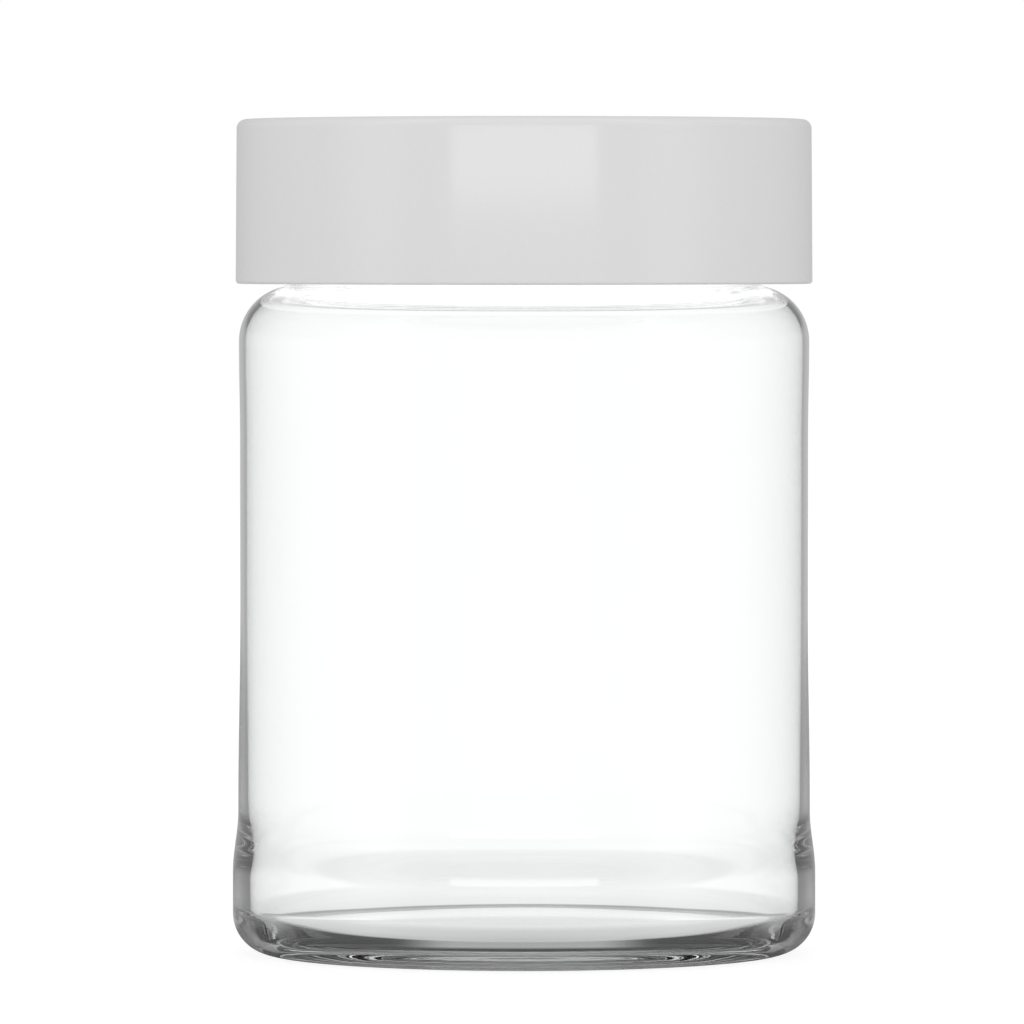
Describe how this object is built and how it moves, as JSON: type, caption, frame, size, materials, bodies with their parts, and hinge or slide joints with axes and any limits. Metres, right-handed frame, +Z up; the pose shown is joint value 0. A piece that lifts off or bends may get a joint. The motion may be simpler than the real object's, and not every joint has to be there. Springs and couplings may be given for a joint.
{
  "type": "glass storage jar",
  "caption": "Clear glass storage jar with rounded shoulder and heel, and a plain pale grey screw lid: outer cover, threaded inner cap and soft sealing liner.",
  "frame": {"origin": "centre of the base, in the plane of the ring that the jar stands on", "axes": "+Z up along the jar's axis, which the lid turns about; X and Y are alike, because the jar is round"},
  "size_m": [0.1062, 0.1062, 0.1519],
  "materials": {
    "glass": "clear, smooth fire-polished soda-lime glass",
    "cover_plastic": "pale neutral grey, smooth satin polypropylene",
    "cap_plastic": "natural white moulded polypropylene",
    "liner": "soft white foamed sealing disc"
  },
  "bodies": {
    "jar": {"glass_jar": "glass"},
    "liner": {"seal_liner": "liner"},
    "lid": {"inner_cap": "cap_plastic", "lid_cover": "cover_plastic"}
  },
  "joints": [
    {"name": "lid_lift", "type": "slide", "parent": "jar", "child": "liner", "axis": [0, 0, 1], "range_m": [0, 0.0302]},
    {"name": "lid_turn", "type": "hinge", "parent": "liner", "child": "lid", "pos_m": [0, 0, 0.1465], "axis": [0, 0, 1], "range_deg": [0, 450]}
  ],
  "couplings": [
    {"joint": "lid_lift", "follows": "lid_turn", "m_per_rad": 0.0038197}
  ]
}
